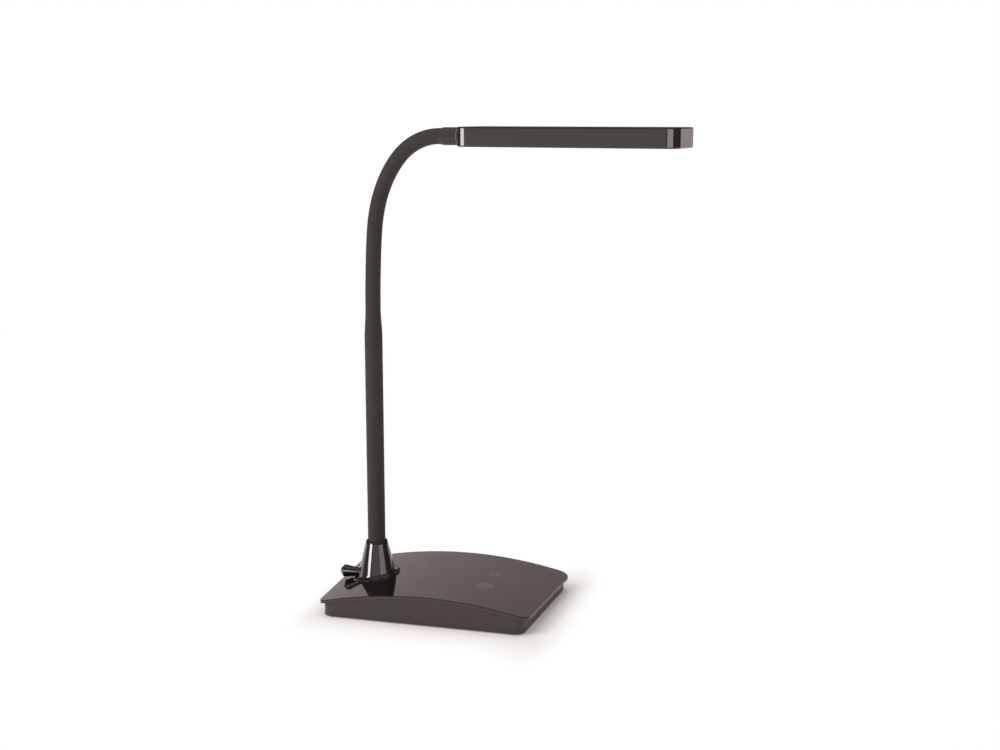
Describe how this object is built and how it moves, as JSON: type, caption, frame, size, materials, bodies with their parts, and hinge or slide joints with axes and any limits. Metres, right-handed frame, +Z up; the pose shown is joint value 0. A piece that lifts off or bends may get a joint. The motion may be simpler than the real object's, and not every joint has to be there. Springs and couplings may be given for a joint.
{
  "type": "gooseneck desk lamp",
  "caption": "Desk lamp with a crowned glossy base, touch controls, a stiff stem, a bendable rubber-covered gooseneck and a slim level light head.",
  "frame": {"origin": "centre of the base on the desk, at the underside of the foot pad", "axes": "+Z up, +X along the base from the stem towards the touch marks and the head, +Y towards the back, where the power inlet is"},
  "size_m": [0.3437, 0.144, 0.4555],
  "materials": {
    "gloss_black": "polished",
    "matte_black": "fine satin",
    "satin_black": "satin paint",
    "neck_rubber": "satin",
    "steel": "plain",
    "pad_rubber": "matt",
    "touch_mark": "printed",
    "circuit_board": "solder mask",
    "components": "moulded",
    "led": "phosphor",
    "diffuser": "opal",
    "reflector_white": "white",
    "aluminium": "plain sheet",
    "brass": "plated",
    "nylon": "natural",
    "lead_sheath": "PVC"
  },
  "bodies": {
    "base": {"ballast_plate": "steel", "base_cover": "gloss_black", "base_housing": "matte_black", "base_screws": "steel", "board_components": "components", "board_screws": "steel", "collar": "satin_black", "collar_nut": "steel", "collar_washer": "steel", "control_board": "circuit_board", "dc_inlet": "matte_black", "foot_pad": "pad_rubber", "inlet_contact": "brass", "swivel_bush": "nylon", "touch_icons": "touch_mark", "touch_springs": "steel"},
    "lock": {"lock_knob": "satin_black", "lock_screw": "steel"},
    "stem": {"lower_tube": "steel", "lower_sleeve": "neck_rubber", "retaining_clip": "steel", "lower_lead": "lead_sheath"},
    "link_1": {"neck_sleeve_1": "neck_rubber", "neck_hose_1": "steel", "neck_lead_1": "lead_sheath"},
    "link_2": {"neck_sleeve_2": "neck_rubber", "neck_hose_2": "steel", "neck_lead_2": "lead_sheath"},
    "link_3": {"neck_sleeve_3": "neck_rubber", "neck_hose_3": "steel", "neck_lead_3": "lead_sheath"},
    "link_4": {"neck_sleeve_4": "neck_rubber", "neck_hose_4": "steel", "neck_lead_4": "lead_sheath"},
    "link_5": {"neck_sleeve_5": "neck_rubber", "neck_hose_5": "steel", "neck_lead_5": "lead_sheath"},
    "link_6": {"neck_sleeve_6": "neck_rubber", "neck_hose_6": "steel", "neck_lead_6": "lead_sheath"},
    "link_7": {"neck_sleeve_7": "neck_rubber", "neck_hose_7": "steel", "neck_lead_7": "lead_sheath"},
    "link_8": {"neck_sleeve_8": "neck_rubber", "neck_hose_8": "steel", "neck_lead_8": "lead_sheath"},
    "head": {"end_sleeve": "neck_rubber", "end_tube": "steel", "head_lead": "lead_sheath", "head_ferrule": "satin_black", "ferrule_nut": "steel", "head_housing": "matte_black", "light_frame": "matte_black", "diffuser": "diffuser", "reflector": "reflector_white", "led_board": "circuit_board", "leds": "led", "heat_plate": "aluminium", "head_screws": "steel"}
  },
  "joints": [
    {"name": "arm_swivel", "type": "hinge", "parent": "base", "child": "stem", "pos_m": [-0.0683, 0, 0.0509], "axis": [0, 0, 1], "range_deg": [-160, 160]},
    {"name": "bend_1", "type": "hinge", "parent": "stem", "child": "link_1", "pos_m": [-0.0683, 0, 0.287], "axis": [0.1219, 0.9925, 0], "range_deg": [-25, 20]},
    {"name": "bend_2", "type": "hinge", "parent": "link_1", "child": "link_2", "pos_m": [-0.06788, -0.00005, 0.31124], "axis": [0.9919, -0.1218, -0.0349], "range_deg": [-22, 22]},
    {"name": "bend_3", "type": "hinge", "parent": "link_2", "child": "link_3", "pos_m": [-0.06693, -0.00017, 0.33548], "axis": [0.1219, 0.9925, 0], "range_deg": [-25, 18]},
    {"name": "bend_4", "type": "hinge", "parent": "link_3", "child": "link_4", "pos_m": [-0.06534, -0.00036, 0.35967], "axis": [0.9886, -0.1214, -0.0889], "range_deg": [-22, 22]},
    {"name": "bend_5", "type": "hinge", "parent": "link_4", "child": "link_5", "pos_m": [-0.06125, -0.00087, 0.38354], "axis": [0.1219, 0.9925, 0], "range_deg": [-28, 14]},
    {"name": "bend_6", "type": "hinge", "parent": "link_5", "child": "link_6", "pos_m": [-0.05289, -0.00189, 0.40624], "axis": [0.8906, -0.1093, -0.4415], "range_deg": [-22, 22]},
    {"name": "bend_7", "type": "hinge", "parent": "link_6", "child": "link_7", "pos_m": [-0.03978, -0.0035, 0.4265], "axis": [0.1219, 0.9925, 0], "range_deg": [-32, 10]},
    {"name": "bend_8", "type": "hinge", "parent": "link_7", "child": "link_8", "pos_m": [-0.02093, -0.00582, 0.44129], "axis": [0.432, -0.053, -0.9003], "range_deg": [-22, 22]},
    {"name": "bend_9", "type": "hinge", "parent": "link_8", "child": "head", "pos_m": [0.00234, -0.00867, 0.44666], "axis": [0.1219, 0.9925, 0], "range_deg": [-32, 8]},
    {"name": "lock_turn", "type": "hinge", "parent": "base", "child": "lock", "pos_m": [-0.0883, 0, 0.0225], "axis": [-1, 0, 0], "range_deg": [0, 270]}
  ]
}
